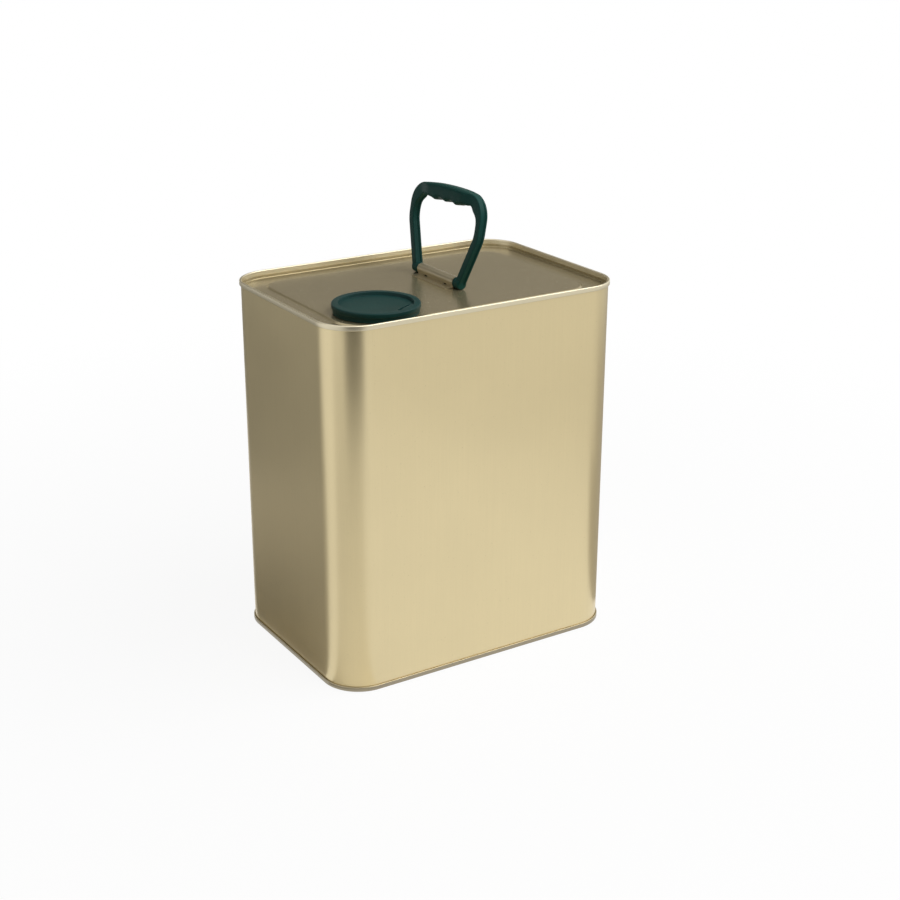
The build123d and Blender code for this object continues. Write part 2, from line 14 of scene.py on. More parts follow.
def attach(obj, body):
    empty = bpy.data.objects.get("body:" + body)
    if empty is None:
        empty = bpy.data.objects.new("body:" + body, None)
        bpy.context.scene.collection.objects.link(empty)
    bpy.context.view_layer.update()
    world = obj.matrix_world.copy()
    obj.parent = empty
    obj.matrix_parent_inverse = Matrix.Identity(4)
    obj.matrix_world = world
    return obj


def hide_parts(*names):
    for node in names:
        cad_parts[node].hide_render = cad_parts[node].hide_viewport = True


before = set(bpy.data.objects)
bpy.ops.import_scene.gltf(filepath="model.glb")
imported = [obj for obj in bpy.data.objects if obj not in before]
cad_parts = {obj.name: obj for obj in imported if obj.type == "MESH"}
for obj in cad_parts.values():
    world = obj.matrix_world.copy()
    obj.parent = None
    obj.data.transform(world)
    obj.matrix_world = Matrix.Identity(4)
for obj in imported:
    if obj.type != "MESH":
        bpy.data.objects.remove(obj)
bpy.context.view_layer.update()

bl_info = {
    "name": "Olive oil tin",
    "version": (1, 0, 0),
    "blender": (4, 5, 0),
    "location": "3D View > Sidebar > Oil tin",
    "description": "Builds a lacquered oil tin with a pull-up spout and a folding handle",
    "category": "Add Mesh",
}

MM = 0.001


# Sizes and colours that a user may change

def length(name, description, millimetres):
    return bpy.props.FloatProperty(
        name=name, description=description, default=millimetres * MM, unit="LENGTH", precision=5
    )


def colour(name, description, rgb):
    return bpy.props.FloatVectorProperty(
        name=name, description=description, default=rgb, subtype="COLOR", size=3, min=0.0, max=1.0
    )


class TinSizes(bpy.types.PropertyGroup):
    width: length("Width", "Body's width between its outer walls", 237.0)
    depth: length("Depth", "Body's depth between its outer walls", 166.0)
    height: length("Height", "Height over both seams", 273.0)
    corner: length("Corner radius", "Radius of the body's four corners", 28.0)
    sheet: length("Sheet", "Gauge of the tinplate", 0.32)
    seam: length("Seam length", "Height of a double seam", 3.6)
    recess: length("Lid recess", "Depth of the lid's field below the rim", 4.8)
    step: length("Lid step", "Depth of the margin below the field", 1.1)
    boss: length("Boss radius", "Radius of the raised field round the closure", 35.2)
    field_inset_x: length("Field inset X", "Body's narrow side to the raised field", 17.0)
    field_inset_y: length("Field inset Y", "Body's wide side to the raised field", 14.0)
    field_corner: length("Field corner", "Radius of the raised field's corners", 20.0)
    closure_x: length("Closure X", "Place of the closure's axis along the width", -66.0)
    closure_y: length("Closure Y", "Place of the closure's axis along the depth", -43.5)


class ClosureSizes(bpy.types.PropertyGroup):
    neck_bore: length("Neck bore", "Radius inside the lid's neck", 26.4)
    neck_foot: length("Neck foot", "Radius at which the neck's bend meets the field", 28.6)
    curl: length("Curl", "Radius over the neck's curl", 28.3)
    curl_low: length("Curl's edge", "Height of the curl's free edge over the field", 1.1)
    curl_top: length("Curl's top", "Height of the curl over the field", 1.92)
    gasket: length("Gasket", "Thickness of the gasket on the curl", 0.5)
    flange: length("Flange", "Thickness of the spout base's flange", 0.88)
    crimp_sheet: length("Crimp sheet", "Gauge of the crimp ring", 0.3)
    depth: length("Spout depth", "How far the spout's base reaches below the field", 27.0)
    slide_gap: length("Slide gap", "Play between one stage of the spout and the next", 0.25)
    throat: length("Throat", "Radius outside the nozzle's throat", 13.2)
    cap: length("Cap", "Radius over the overcap's ring", 30.9)
    cap_top: length("Cap top", "Height of the overcap's ring over the field", 7.0)
    cap_floor: length("Cap floor", "Height of the overcap's sunk centre over the field", 4.6)
    cap_panel: length("Cap panel", "Radius of the overcap's sunk centre", 25.7)
    skirt: length("Skirt", "Radius over the overcap's skirt and the tamper band", 30.05)


class HandleSizes(bpy.types.PropertyGroup):
    pivot_x: length("Pivot X", "Place of the handle's bar along the width", 14.5)
    pivot_y: length("Pivot Y", "Middle of the handle's bar along the depth", 4.5)
    pivot_rise: length("Pivot rise", "Height of the bar's axis above the lid's field", 4.2)
    lean: bpy.props.FloatProperty(
        name="Lean", description="How far the handle leans", default=math.radians(9.8), subtype="ANGLE"
    )
    height: length("Height", "Height of the grip's crown above the bar", 65.8)
    half_width: length("Half width", "Half the loop's width over its middle line", 44.2)
    foot_half_width: length("Foot half width", "Half the distance between the legs' feet", 29.2)
    shoulder_fall: length("Shoulder fall", "How far the crowned top falls towards a shoulder", 3.8)
    grip_skew: length("Grip skew", "How far the grip's near shoulder stands above its middle", 1.5)
    leg_width: length("Leg width", "Width of a leg across the loop", 6.2)
    leg_thickness: length("Leg thickness", "Thickness of a leg in the loop's plane", 5.6)
    groove_width: length("Groove width", "Width of the groove along a leg", 3.0)
    groove_depth: length("Groove depth", "Depth of the groove along a leg", 0.9)
    grip_width: length("Grip width", "Width of the grip across the loop", 12.0)
    grip_thickness: length("Grip thickness", "Thickness of the grip in the loop's plane", 12.2)
    gusset: length("Gusset", "Extra thickness inside the two shoulders", 3.6)
    grip_lift: length("Grip lift", "How far the grip stands over the legs' outer line", 0.5)
    finger_pitch: length("Finger pitch", "Distance from one finger hollow to the next", 14.4)
    finger_depth: length("Finger depth", "Depth of a finger hollow", 1.5)
    hub_radius: length("Hub radius", "Radius of the two hubs", 4.0)
    hub_thickness: length("Hub thickness", "Thickness of a hub along the bar", 7.4)
    hub_inner: length("Hub place", "Distance from the bar's middle to a hub's inner face", 24.5)
    bar_radius: length("Bar radius", "Radius of the bar in the clip", 3.3)


class TinColours(bpy.types.PropertyGroup):
    lacquer: colour("Lacquer", "Gold lacquer over the tinplate", (0.76, 0.643, 0.386))
    bright: colour("Bright tinplate", "Tinplate of the handle's clip", (0.53, 0.465, 0.32))
    cap: colour("Cap", "Moulded overcap", (0.003, 0.036, 0.032))
    handle: colour("Handle", "Moulded handle", (0.006, 0.051, 0.042))
    natural: colour("Natural plastic", "Spout and screw cap", (0.72, 0.71, 0.66))
    compound: colour("Compound", "Sealing compound in the seams", (0.30, 0.28, 0.25))
    gasket: colour("Gasket", "Gasket under the spout's flange", (0.03, 0.03, 0.03))
    liner: colour("Liner", "Foamed liner in the screw cap", (0.84, 0.84, 0.81))


# Surfaces

def rounded(points, radii, steps):
    """A line through points whose inner corners are arcs: each arc runs between the two points
    that lie radius * tan(half the turn) from the corner, in equal steps of angle."""
    points = np.array(points, float)
    line = [points[:1]]
    for before, corner, after, radius in zip(points, points[1:], points[2:], radii):
        a = (before - corner) / np.linalg.norm(before - corner)
        b = (after - corner) / np.linalg.norm(after - corner)
        half = math.acos(np.clip(a @ b, -1, 1)) / 2
        if radius == 0 or half > math.pi / 2 - 1e-4:
            line.append(corner[None])
            continue
        centre = corner + (a + b) / np.linalg.norm(a + b) * radius / math.sin(half)
        start, end = corner + a * radius / math.tan(half), corner + b * radius / math.tan(half)
        t = np.linspace(0, 1, steps + 1)[:, None]
        sweep = math.pi - 2 * half
        u, v = (start - centre), (end - centre)
        line.append(centre + (u * np.sin((1 - t) * sweep) + v * np.sin(t * sweep)) / math.sin(sweep))
    line.append(points[-1:])
    return np.concatenate(line)


def closed_rounded(points, radius):
    """A closed line through points with every corner an arc of radius, or of its own radius."""
    radii = np.broadcast_to(radius, len(points))
    ring = list(points[-1:]) + list(points) + list(points[:1])
    return rounded(ring, radii, steps=4)[1:-1]


def rectangle(left, right, low, high):
    """The four corners of an upright rectangle, anticlockwise."""
    return [(left, low), (right, low), (right, high), (left, high)]


def thickened(line, sheet):
    """A closed section: the line, and back along the same line moved by sheet to its right."""
    along = np.gradient(line, axis=0)
    along /= np.linalg.norm(along, axis=1, keepdims=True)
    right = np.stack([along[:, 1], -along[:, 0]], 1)
    return np.concatenate([line, (line + right * sheet)[::-1]])


def rounded_rectangle(width, depth, radius, arc=28, long_side=72, short_side=48):
    """Points and outward normals round a rectangle with arcs at its corners, anticlockwise."""
    turn = np.linspace(0, math.pi / 2, arc + 1)
    corners = np.array([(1, 1), (-1, 1), (-1, -1), (1, -1)]) * (np.array([width, depth]) / 2 - radius)
    points, normals = [], []
    for corner, middle in enumerate(corners):
        out = np.stack([np.cos(turn + corner * math.pi / 2), np.sin(turn + corner * math.pi / 2)], 1)
        points.append(middle + radius * out)
        normals.append(out)
        side = long_side if corner in (0, 2) else short_side
        share = np.linspace(0, 1, side + 1)[1:-1, None]
        ends = corners[(corner + 1) % 4] + radius * out[-1]
        points.append(points[-1][-1] * (1 - share) + ends * share)
        normals.append(np.broadcast_to(out[-1], (len(share), 2)))
    return np.concatenate(points), np.concatenate(normals)


def circle(count):
    """Points at the centre with unit normals all round, so that a section's u is a radius."""
    turn = np.linspace(0, 2 * math.pi, count, endpoint=False)
    normals = np.stack([np.cos(turn), np.sin(turn)], 1)
    return np.zeros_like(normals), normals


def carried(path, section, centre=(0, 0, 0)):
    """Section (u, z) carried round a flat path: path point + u * outward normal, at height z."""
    points, normals = path
    u, z = np.array(section)[:, 0], np.array(section)[:, 1]
    flat = points[:, None, :] + u[None, :, None] * normals[:, None, :]
    rows = np.concatenate([flat, np.broadcast_to(z[None, :, None], flat.shape[:2] + (1,))], 2)
    return rows + np.array(centre)


def quads_of(rows, columns, close_rows, close_columns, start, flip):
    """Indices of the quads between neighbouring rows and columns of a grid of points, whose point
    in row i and column j has the index start + i * columns + j."""
    i = np.arange(rows if close_rows else rows - 1)
    j = np.arange(columns if close_columns else columns - 1)
    a, b = np.meshgrid(i, j, indexing="ij")
    c, d = (a + 1) % rows, (b + 1) % columns
    order = [a * columns + b, c * columns + b, c * columns + d, a * columns + d]
    quads = np.stack([o.ravel() for o in order], 1) + start
    return quads[:, ::-1] if flip else quads


def add_object(name, data):
    """A new object in the scene."""
    made = bpy.data.objects.new(name, data)
    bpy.context.scene.collection.objects.link(made)
    return made


def piece(name, grids, body, replaces, sharp):
    """One mesh from several grids, each (points, close rows, close columns, flip), with normals
    made to point outwards, smooth but for edges sharper than sharp degrees."""
    vertices, faces, start = [], [], 0
    for points, close_rows, close_columns, flip in grids:
        rows, columns = points.shape[:2]
        vertices.append(points.reshape(-1, 3))
        faces.append(quads_of(rows, columns, close_rows, close_columns, start, flip))
        start += rows * columns
    vertices, faces = np.concatenate(vertices), np.concatenate(faces)
    mesh = bpy.data.meshes.new(name)
    mesh.vertices.add(len(vertices))
    mesh.vertices.foreach_set("co", vertices.astype(np.float32).ravel())
    mesh.loops.add(faces.size)
    mesh.loops.foreach_set("vertex_index", faces.astype(np.int32).ravel())
    mesh.polygons.add(len(faces))
    mesh.polygons.foreach_set("loop_start", np.arange(0, faces.size, 4, dtype=np.int32))
    mesh.update(calc_edges=True)
    mesh.validate()
    mesh.polygons.foreach_set("use_smooth", np.ones(len(mesh.polygons), bool))
    mesh.set_sharp_from_angle(angle=math.radians(sharp))
    made = add_object(name, mesh)
    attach(made, body)
    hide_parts(*replaces)
    return made


def distance_to_rectangle(x, y, width, depth, radius):
    """Signed distance from a rounded rectangle about the origin, negative inside: how far
    (|x|, |y|) lies past the middle of the corner's arc, less the radius."""
    qx, qy = np.abs(x) - width / 2 + radius, np.abs(y) - depth / 2 + radius
    return np.hypot(np.maximum(qx, 0), np.maximum(qy, 0)) + np.minimum(np.maximum(qx, qy), 0) - radius


def smooth_union(a, b, blend):
    """The smaller of two distances, rounded off where they differ by less than blend: less a
    quarter of blend times the square of (1 - difference / blend)."""
    near = np.maximum(blend - np.abs(a - b), 0) / blend
    return np.minimum(a, b) - near * near * blend / 4


def smooth_ramp(x):
    """0 below 0, 1 above 1, and three times x squared less twice x cubed between, so that both
    ends are level."""
    x = np.clip(x, 0, 1)
    return x * x * (3 - 2 * x)


def reach(origin, towards, distance, levels):
    """How far along each ray from origin the distance function has each level, by halving."""
    low = np.zeros((len(towards), len(levels)))
    high = np.full_like(low, 0.4)
    for _ in range(40):
        middle = (low + high) / 2
        x = origin[0] + towards[:, :1] * middle
        y = origin[1] + towards[:, 1:] * middle
        inside = distance(x, y) < levels[None, :]
        low, high = np.where(inside, middle, low), np.where(inside, high, middle)
    return (low + high) / 2


# Node maths and materials

class Value:
    """A node's output that can be added, multiplied and so on, each time through a Math node."""

    def __init__(self, nodes, socket):
        self.nodes = nodes
        self.socket = socket

    def __add__(self, other):
        return self.nodes.maths("ADD", self, other)

    __radd__ = __add__

    def __mul__(self, other):
        return self.nodes.maths("MULTIPLY", self, other)

    __rmul__ = __mul__

    def __sub__(self, other):
        return self.nodes.maths("SUBTRACT", self, other)

    def __rsub__(self, other):
        return self.nodes.maths("SUBTRACT", other, self)

    def below(self, edge, soft):
        """1 where the value is under edge - soft, 0 above edge + soft, smooth between."""
        settings = {"interpolation_type": "SMOOTHSTEP"}
        ends = {"From Min": edge - soft, "From Max": edge + soft, "To Min": 1.0, "To Max": 0.0}
        return self.nodes.add("ShaderNodeMapRange", settings, {"Value": self, **ends}, "Result")

    def above(self, edge, soft):
        return 1 - self.below(edge, soft)


class Nodes:
    """A material's tree, with one way to add any node."""

    def __init__(self, name, made=None):
        self.material = made or bpy.data.materials.new(name)
        self.material.use_nodes = True
        self.tree = self.material.node_tree
        self.tree.nodes.clear()

    def add(self, kind, settings=None, inputs=None, output=0):
        node = self.tree.nodes.new(kind)
        for key, value in (settings or {}).items():
            setattr(node, key, value)
        for key, value in (inputs or {}).items():
            self.feed(node.inputs[key], value)
        return Value(self, node.outputs[output]) if len(node.outputs) else node

    def maths(self, operation, first, second):
        return self.add("ShaderNodeMath", {"operation": operation}, {0: first, 1: second})

    def feed(self, socket, value):
        if isinstance(value, Value):
            self.tree.links.new(value.socket, socket)
        elif socket.type == "RGBA" and len(value) == 3:
            socket.default_value = (*value, 1.0)
        else:
            socket.default_value = value

    def place(self, scale):
        """Object coordinates, stretched."""
        point = self.add("ShaderNodeTexCoord", output="Object")
        return self.add("ShaderNodeMapping", inputs={"Vector": point, "Scale": scale})

    def noise(self, scale, detail, rough, stretch=(1, 1, 1)):
        fed = {"Vector": self.place(stretch), "Scale": scale, "Detail": detail, "Roughness": rough}
        return self.add("ShaderNodeTexNoise", inputs=fed)

    def mix(self, share, first, second):
        """First where share is 0, second where it is 1, for colours."""
        settings = {"data_type": "RGBA"}
        return self.add("ShaderNodeMix", settings, {0: share, 6: first, 7: second}, 2)

    def height(self):
        """Height of the point over the plane that the tin stands on."""
        point = self.add("ShaderNodeTexCoord", output="Object")
        return self.add("ShaderNodeSeparateXYZ", inputs={0: point}, output=2)

    def bump(self, height, distance, strength):
        fed = {"Height": height, "Distance": distance, "Strength": strength}
        return self.add("ShaderNodeBump", inputs=fed)

    def finish(self, inputs):
        shader = self.add("ShaderNodeBsdfPrincipled", inputs=inputs)
        self.add("ShaderNodeOutputMaterial", inputs={"Surface": shader})
        return self.material


# Painted shade: the darker colour given to the foot seam, standing in for the shade under its curve near
# the floor.
FOOT_PAINTED_SHADE_TONE = (0.30, 0.265, 0.20)
# Painted highlight: the paler colour given to the top seam, standing in for the broad highlight on its
# rounded top.
RIM_PAINTED_HIGHLIGHT_TONE = (0.78, 0.71, 0.53)
FULL_METALLIC = 0.92
BEYOND_RIM = 1.0


def shade(rgb, by):
    """The colour made lighter or darker."""
    return tuple(min(max(channel * by, 0.0), 1.0) for channel in rgb)


def lacquered_tinplate(name, rgb, roughness, grain, seams, metallic=FULL_METALLIC, rim_highlight_share=0.55):
    """Tinplate under clear gold lacquer: rolling grain, soft mottle, a few handling scuffs, and,
    below and above the two heights in seams, painted shade on the foot seam and a painted
    highlight on the top seam. A lower metallic gives the milky film that the lid's lacquer has."""
    n = Nodes(name)
    streaks = n.noise(1500.0, 2.0, 0.6, grain)
    mottle = n.noise(14.0, 4.0, 0.6)
    drift = n.noise(3.0, 1.0, 0.5)
    specks = n.noise(900.0, 2.0, 0.7).above(0.71, 0.03)
    tone = n.mix(mottle.above(0.5, 0.3) * 0.55, shade(rgb, 0.955), shade(rgb, 1.03))
    tone = n.mix(streaks.above(0.5, 0.2) * 0.30, tone, shade(rgb, 0.93))
    tone = n.mix(specks * 0.35, tone, shade(rgb, 0.62))
    # Painted shade: below the lower seam height the colour is darkened towards the foot tone, standing
    # in for the shade under the foot seam's curve.
    foot = n.height().below(seams[0], 0.4 * MM)
    tone = n.mix(foot * 0.9, tone, FOOT_PAINTED_SHADE_TONE)
    # Painted highlight: above the upper seam height the colour is paled towards the rim tone and the
    # metal made full, standing in for the rounded top seam's broad highlight.
    rim = n.height().above(seams[1], 0.5 * MM)
    tone = n.mix(rim * rim_highlight_share, tone, RIM_PAINTED_HIGHLIGHT_TONE)
    rough = roughness - 0.03 + mottle * 0.06 + streaks * 0.05 + specks * 0.15 + foot * 0.08 + rim * 0.12
    relief = drift + mottle * 0.05 + streaks * 0.004
    return n.finish({
        "Base Color": tone,
        "Metallic": rim * (FULL_METALLIC - metallic) + metallic,
        "Roughness": rough,
        "Coat Weight": 0.12,
        "Coat Roughness": 0.16,
        "Coat IOR": 1.5,
        "Normal": n.bump(relief, 0.0012, 0.5),
    })


def moulded_plastic(name, rgb, roughness, matte):
    """Moulded polyethylene: a fine spark-eroded skin, faint flow marks, and rubbed spots. Its
    gloss is weaker by matte."""
    n = Nodes(name)
    skin = n.noise(2600.0, 2.0, 0.6)
    flow = n.noise(55.0, 3.0, 0.5, (1, 1, 0.35))
    rubs = n.noise(240.0, 4.0, 0.75, (1, 0.25, 1)).above(0.66, 0.05)
    tone = n.mix(flow.above(0.5, 0.25) * 0.6, shade(rgb, 0.85), shade(rgb, 1.18))
    tone = n.mix(rubs * 0.25, tone, tuple(channel * 0.7 + 0.03 for channel in rgb))
    rough = roughness + flow * 0.08 + rubs * 0.12 + skin * 0.05
    return n.finish({
        "Base Color": tone,
        "Roughness": rough,
        "Specular IOR Level": 0.5 - matte,
        "Normal": n.bump(skin * 0.5 + flow * 0.5, 0.00008, 0.6),
    })


def waxy_plastic(name, rgb):
    """Natural low-density polyethylene: pale, slightly cloudy, soft gloss."""
    n = Nodes(name)
    cloud = n.noise(60.0, 3.0, 0.5)
    skin = n.noise(1800.0, 2.0, 0.5)
    tone = n.mix(cloud.above(0.5, 0.3), shade(rgb, 0.93), shade(rgb, 1.04))
    return n.finish({
        "Base Color": tone,
        "Roughness": 0.36 + cloud * 0.1,
        "Subsurface Weight": 0.12,
        "Subsurface Radius": (0.004, 0.004, 0.003),
        "Subsurface Scale": 1.0,
        "Normal": n.bump(skin, 0.00004, 0.5),
    })


def soft_solid(name, rgb, grain):
    """Rubber, compound or foam: matt, with pores."""
    n = Nodes(name)
    pores = n.noise(grain, 3.0, 0.6)
    tone = n.mix(pores.above(0.5, 0.2), shade(rgb, 0.8), shade(rgb, 1.1))
    fed = {"Base Color": tone, "Roughness": 0.7 + pores * 0.2, "Normal": n.bump(pores, 0.00006, 0.6)}
    return n.finish(fed)


finishes = {}


def dress(made, finish):
    """Gives a new piece its finish."""
    made.data.materials.append(finishes[finish])


def dress_node(node, finish):
    """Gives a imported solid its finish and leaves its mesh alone."""
    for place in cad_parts[node].material_slots:
        place.material = finishes[finish]


# Tin: the double seams' clearances, the pressed steps, and the body's lap

SEAM_GAP = 0.06 * MM
SEAM_COMPOUND = 0.2 * MM
HOOK_ROOM = 0.35 * MM
SEAM_CLEAR = 0.1 * MM
LID_FOOT = 3 * MM
FIELD_FIRST_ROW = -6 * MM
NECK_CLEAR = 0.6 * MM
CHUCK_BEND = 0.5 * MM
STEP_INSIDE = 1.85 * MM
STEP_RUN = 2.2 * MM
BOSS_BLEND = 4 * MM
FOOT_MIDDLE = 0.2 * MM
FOOT_HIGH = 7.6 * MM
FOOT_STEP = 1.2 * MM
FOOT_INSETS = (34 * MM, 16 * MM)
FOOT_CORNER = 18 * MM
LAP_WIDTH = 3 * MM
LAP_RISE = 0.16 * MM
LAP_EDGE = 0.05 * MM
LAP_PLACE = -3 * MM
AXIS_RADIUS = 0.02 * MM


def seam_fold(tin):
    """Lines of a double seam as (u outward, depth from the rim): lid's and body's."""
    s, seam, gap = tin.sheet, tin.seam, SEAM_GAP
    field = tin.recess + tin.step + s
    under = 2 * s + SEAM_COMPOUND
    cover, hook = 2 * s + 3 * gap, s + 2 * gap
    lid = [
        (-LID_FOOT, field), (-s - gap, field), (-s - gap, s), (cover, s), (cover, seam - s),
        (s + gap, seam - s), (s + gap, under + HOOK_ROOM),
    ]
    body = [(0, seam + SEAM_CLEAR), (0, under), (hook, under), (hook, seam - s - HOOK_ROOM)]
    lid_line = rounded(lid, np.array([0.75, 0.45, 0.45, 0.15, 0.15]) * MM, 6)
    body_line = rounded(body, np.array([0.15, 0.15]) * MM, 4)
    return lid_line, body_line


def at_top(section, tin):
    """The same section with depths from the rim turned into heights."""
    return np.stack([section[:, 0], tin.height - section[:, 1]], 1)


class OILTIN_OT_body(bpy.types.Operator):
    """Adds the body: one sheet with a hook at each end, and the lap of its weld on the back."""
    bl_idname = "oiltin.body"
    bl_label = "Body"

    def execute(self, context):
        tin = context.scene.tin_sizes
        path = rounded_rectangle(tin.width, tin.depth, tin.corner)
        line = seam_fold(tin)[1]
        low, high = line[0, 1], tin.height - line[0, 1]
        wall = np.linspace(low, high, 40)[1:-1]
        middle = np.stack([np.zeros_like(wall), wall], 1)
        outside = np.concatenate([line[::-1], middle, at_top(line, tin)])
        section = thickened(outside, -tin.sheet)
        lap = closed_rounded(rectangle(-LAP_WIDTH / 2, LAP_WIDTH / 2, 0, LAP_RISE), LAP_EDGE)
        strip = np.zeros((2, len(lap), 3))
        strip[..., 0] = lap[None, :, 0] + LAP_PLACE
        strip[..., 1] = tin.depth / 2 + lap[None, :, 1]
        strip[..., 2] = np.array([low, high])[:, None]
        made = piece("body_skin", [
            (carried(path, section), True, True, False),
            (strip, False, True, True),
        ], "tin", ["body_shell"], 50)
        dress(made, "lacquer")
        return {"FINISHED"}


def inset_outline(tin, inset_x, inset_y, corner):
    """Distance function of a rounded rectangle that lies inside the body's outline."""
    width, depth = tin.width - 2 * inset_x, tin.depth - 2 * inset_y
    return lambda x, y: distance_to_rectangle(x, y, width, depth, corner)


def rays(origin, path):
    """Unit vectors from origin towards the points of a path."""
    towards = path[0] - np.array(origin)
    return towards / np.linalg.norm(towards, axis=1, keepdims=True)


def end_rings(origin, path, stations, band_line):
    """Points of an end's sheet on rays from origin to the body's outline: the distance and the
    height at each station, then the band and the seam carried along the outline."""
    towards = rays(origin, path)
    rows = []
    for distance, z in stations:
        xy = np.array(origin) + towards * distance[:, None]
        rows.append(np.concatenate([xy, np.broadcast_to(z, distance.shape)[:, None]], 1))
    return np.concatenate([np.stack(rows, 1), carried(path, band_line)], 1)


def end_sheet(origin, path, upper, over, lower, under):
    """An end's closed sheet: out through the upper stations and line, back through the lower."""
    skin = end_rings(origin, path, upper, over)
    below = end_rings(origin, path, lower, under)
    return np.concatenate([skin, below[:, ::-1]], 1)


def step_levels(count):
    """Distances from a pressed step's outline at which it has a row of points."""
    return np.linspace(-1.9, 0.5, count) * MM


def step_drop(level, depth):
    """How far a pressed step has fallen at a distance from its outline, as an S-shaped ramp."""
    return smooth_ramp((level + STEP_INSIDE) / STEP_RUN) * depth


class OILTIN_OT_lid(bpy.types.Operator):
    """Adds the sunk lid: seam, chuck wall, margin, pressed field with its boss, neck and curl."""
    bl_idname = "oiltin.lid"
    bl_label = "Lid"

    def neck_line(self, closure):
        """Section of the neck as (radius, height over the field), from the curl's edge down."""
        bore, join = closure.neck_bore, closure.curl_low + 0.1 * MM
        curl = [(closure.curl, closure.curl_low), (closure.curl, closure.curl_top)]
        wall = [(bore, closure.curl_top), (bore, join)]
        rim = rounded(curl + wall, np.array([0.35, 0.3]) * MM, 4)
        rise = rounded([(bore, join), (bore, 0), (closure.neck_foot, 0)], [0.7 * MM], 5)
        return np.concatenate([rim, rise[1:]])

    def execute(self, context):
        tin, closure = context.scene.tin_sizes, context.scene.closure_sizes
        top = tin.height - tin.recess
        path = rounded_rectangle(tin.width, tin.depth, tin.corner, long_side=110, short_side=76)
        origin = (tin.closure_x, tin.closure_y)
        towards = rays(origin, path)
        margin = inset_outline(tin, LID_FOOT, LID_FOOT, tin.corner - LID_FOOT)
        flat = inset_outline(tin, tin.field_inset_x, tin.field_inset_y, tin.field_corner)

        def field(x, y):
            boss = np.hypot(x - origin[0], y - origin[1]) - tin.boss
            return smooth_union(flat(x, y), boss, BOSS_BLEND)

        around = np.ones(len(towards))
        stations = [(around * radius, top + height) for radius, height in self.neck_line(closure)]
        levels = np.concatenate([[FIELD_FIRST_ROW], step_levels(13)])
        edge = reach(origin, towards, field, levels)
        outer = reach(origin, towards, margin, np.array([0.0]))[:, 0]
        just_inside = outer[:, None] * 0.9995
        edge = np.clip(edge, closure.neck_foot + NECK_CLEAR, just_inside)
        for share in (0.08, 0.3, 0.65):
            stations.append((closure.neck_foot * (1 - share) + edge[:, 0] * share, top))
        for level, distance in zip(levels, edge.T):
            stations.append((distance, top - step_drop(level, tin.step)))
        for share in (0.35, 0.7):
            stations.append((edge[:, -1] * (1 - share) + outer * share, top - tin.step))
        line = seam_fold(tin)[0]
        section = at_top(thickened(line, tin.sheet), tin)
        over, under = section[len(line):][::-1], section[:len(line)]
        lower = [(distance, z - tin.sheet) for distance, z in stations]
        sheet = end_sheet(origin, path, stations, over, lower, under)
        grids = [(sheet, True, True, False)]
        made = piece("lid_skin", grids, "tin", ["top_lid"], 50)
        dress(made, "lacquer_lid")
        return {"FINISHED"}


class OILTIN_OT_bottom(bpy.types.Operator):
    """Adds the sunk bottom end with its two pressed steps."""
    bl_idname = "oiltin.bottom"
    bl_label = "Bottom end"

    def execute(self, context):
        tin = context.scene.tin_sizes
        path = rounded_rectangle(tin.width, tin.depth, tin.corner, arc=24, long_side=48, short_side=32)
        towards = rays((0, 0), path)
        stations = [(np.full(len(towards), FOOT_MIDDLE), FOOT_HIGH)]
        levels = step_levels(9)
        high = FOOT_HIGH
        for inset in FOOT_INSETS:
            field = inset_outline(tin, inset, inset, FOOT_CORNER)
            for level, distance in zip(levels, reach((0, 0), towards, field, levels).T):
                stations.append((distance, high - step_drop(level, FOOT_STEP)))
            high -= FOOT_STEP
        line = seam_fold(tin)[0]
        limit = np.where(line[:, 0] < -CHUCK_BEND, high + tin.sheet, np.inf)
        line[:, 1] = np.minimum(line[:, 1], limit)
        section = thickened(line, tin.sheet)
        over, under = section[:len(line)], section[len(line):][::-1]
        upper = [(distance, z + tin.sheet) for distance, z in stations]
        sheet = end_sheet((0, 0), path, upper, over, stations, under)
        grids = [(sheet, True, True, False)]
        made = piece("foot_skin", grids, "tin", ["bottom_end"], 50)
        dress(made, "lacquer")
        return {"FINISHED"}


# Closure: walls, lips, ledges and gaps of its turned pieces

NECK_PLAY = 0.1 * MM
CRIMP_PLAY = 0.15 * MM
CRIMP_LIP = 0.8 * MM
CRIMP_REACH = 1.9 * MM
BASE_WALL = 1.7 * MM
BASE_LIP = 0.8 * MM
BASE_LEDGE = 1.8 * MM
LIP_HEIGHT = 1.4 * MM
LEDGE_HEIGHT = 1.2 * MM
REST_GAP = 0.05 * MM
SLEEVE_TOP = 2.2 * MM
SLEEVE_WALL = 1.4 * MM
SLEEVE_BEAD = 2.0 * MM
SLEEVE_LIP = 0.9 * MM
SLEEVE_LEDGE = 1.5 * MM
NOZZLE_WALL = 1.3 * MM
NOZZLE_BEAD = 1.8 * MM
NOZZLE_SHOULDER = -13.0 * MM
NOZZLE_NECK = -8.0 * MM
NOZZLE_MOUTH = 0.7 * MM
THROAT_WALL = 1.4 * MM
THROAT_LEDGE = 0.9 * MM
THROAT_LEDGE_HEIGHT = 0.6 * MM
POUR_LIP = 0.45 * MM
POUR_LIP_HEIGHT = 0.6 * MM
CAP_PANEL = 1.1 * MM
CAP_RING_LOW = 3.7 * MM
CAP_RING_SLOPE = 0.5 * MM
SKIRT_WALL = 1.0 * MM
SKIRT_LOW = 1.7 * MM
BAND_GAP = 0.1 * MM
BAND_LOW = 0.25 * MM
BAND_LEDGE = 0.43 * MM
BAND_LEDGE_INSIDE = 28.4 * MM
TAB_TURN = math.radians(-61)
TAB_HALF_WIDTH = 8.0
TAB_NEAR = 21.4
TAB_FAR = 27.4


def turned(name, section, edges, finish_and_slot, body, node, tin, extra=(), count=144):
    """A closed section of radius and height over the field, turned about the closure's axis, with
    the radii of its edges in millimetres."""
    finish, slot = finish_and_slot
    section = closed_rounded(section, np.array(edges) * MM)
    centre = (tin.closure_x, tin.closure_y, tin.height - tin.recess)
    grids = [(carried(circle(count), section, centre), True, True, False), *extra]
    dress(piece(name, grids, body, [node], 40), finish)


